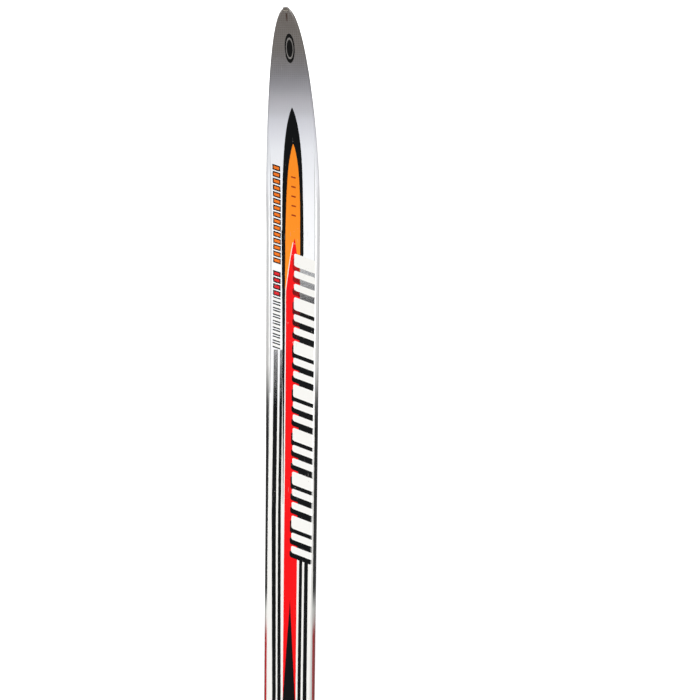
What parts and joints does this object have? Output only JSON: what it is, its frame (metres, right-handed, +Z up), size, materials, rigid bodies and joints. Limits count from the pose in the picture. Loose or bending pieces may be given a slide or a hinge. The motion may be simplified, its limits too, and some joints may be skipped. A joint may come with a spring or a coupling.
{
  "type": "cross country ski",
  "caption": "Junior cross-country ski with a risen tip, arched middle, printed cap and a step-in toe binding opened by a press lever.",
  "frame": {"origin": "on the ground, below the middle of the ski's length and width, with the ski lying unloaded on its base", "axes": "+X along the ski towards the tip, +Y to the skier's left, +Z up"},
  "size_m": [1.6, 0.0484, 0.0707],
  "materials": {
    "base_polyethylene": "ground",
    "glass_laminate": "satin",
    "core_wood": "raw",
    "tip_abs": "satin",
    "tail_abs": "satin",
    "printed_cap": "printed gloss",
    "tail_protector_abs": "moulded",
    "reinforcement_glass": "satin",
    "binding_black": "moulded",
    "bright_steel": "zinc plated",
    "slider_acetal": "moulded",
    "spring_steel": "drawn wire",
    "flexor_rubber": "moulded",
    "lever_red": "moulded",
    "screw_steel": "zinc plated"
  },
  "bodies": {
    "ski": {"running_base": "base_polyethylene", "lower_laminate": "glass_laminate", "core": "core_wood", "tip_spacer": "tip_abs", "tail_spacer": "tail_abs", "upper_laminate": "glass_laminate", "topsheet_cap": "printed_cap", "tail_protector": "tail_protector_abs", "toe_reinforcement": "reinforcement_glass", "heel_reinforcement": "reinforcement_glass", "toe_base_plate": "binding_black", "toe_housing": "binding_black", "bar_seat": "bright_steel", "jaw_spring_left": "spring_steel", "jaw_spring_right": "spring_steel", "flexor": "flexor_rubber", "lever_pin": "bright_steel", "guide_rail": "binding_black", "heel_plate": "binding_black", "toe_screw_front": "screw_steel", "toe_screw_left": "screw_steel", "toe_screw_right": "screw_steel", "rail_screw_front": "screw_steel", "rail_screw_rear": "screw_steel", "heel_screw_front": "screw_steel", "heel_screw_rear": "screw_steel"},
    "jaw": {"jaw_slider": "slider_acetal", "jaw_hook": "bright_steel"},
    "lever": {"release_lever": "lever_red"}
  },
  "joints": [
    {"name": "release_lever_hinge", "type": "hinge", "parent": "ski", "child": "lever", "pos_m": [0.052, 0, 0.05079], "axis": [0, -1, 0], "range_deg": [0, 22]},
    {"name": "jaw_slide", "type": "slide", "parent": "ski", "child": "jaw", "axis": [1, 0, 0], "range_m": [0, 0.00405], "stiffness_N_per_m": 2500, "springref_m": -0.005, "deforming": ["jaw_spring_left", "jaw_spring_right"]}
  ],
  "couplings": [
    {"joint": "jaw_slide", "follows": "release_lever_hinge", "m_per_rad": 0.010537}
  ]
}
